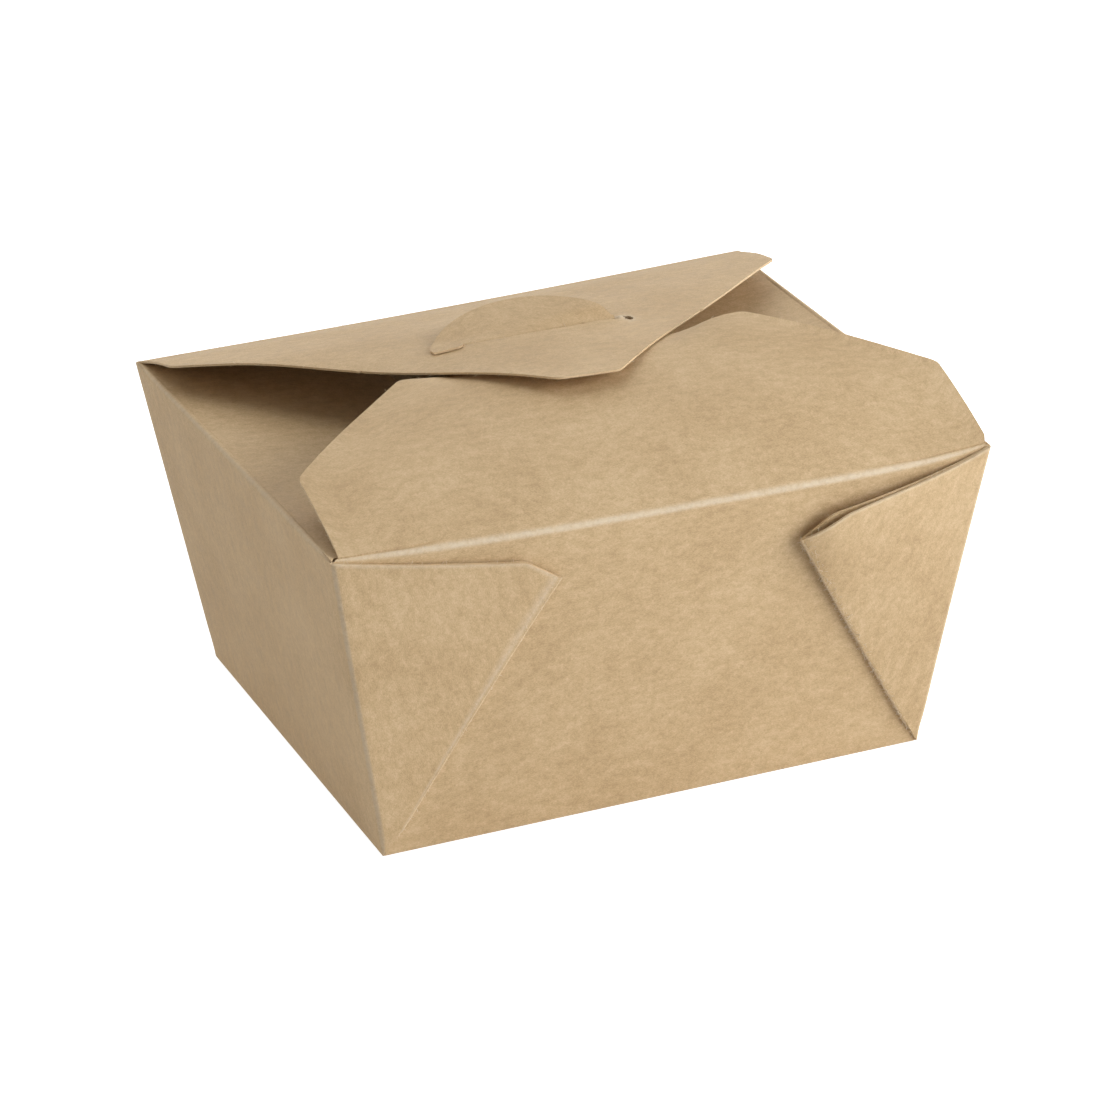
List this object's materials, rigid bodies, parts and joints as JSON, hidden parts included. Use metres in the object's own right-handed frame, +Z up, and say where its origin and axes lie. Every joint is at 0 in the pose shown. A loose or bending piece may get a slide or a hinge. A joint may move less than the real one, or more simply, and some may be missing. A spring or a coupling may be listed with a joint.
{
  "type": "takeaway box",
  "caption": "Flared fold-top food box of plain kraft card, closed, with folded corner webs and a hinged lid flap whose slit takes the front flap's half-moon tongue.",
  "frame": {"origin": "middle of the base's underside, on the surface that the box stands on", "axes": "+Z up, +X to the right seen from the front, -Y towards the front wall, from which the tongued flap rises; the lid is hinged along the rear top crease, at +Y"},
  "size_m": [0.1322, 0.1122, 0.0789],
  "materials": {
    "kraft_card": "uncoated, matte, faintly mottled with fibres"
  },
  "bodies": {
    "box": {"carton": "kraft_card", "lock_tab": "kraft_card"},
    "lid": {"rear_flap": "kraft_card"}
  },
  "joints": [
    {"name": "lid_hinge", "type": "hinge", "parent": "box", "child": "lid", "pos_m": [0, 0.0543, 0.064], "axis": [-1, 0, 0], "range_deg": [0, 160], "deforming": ["lock_tab"]}
  ]
}
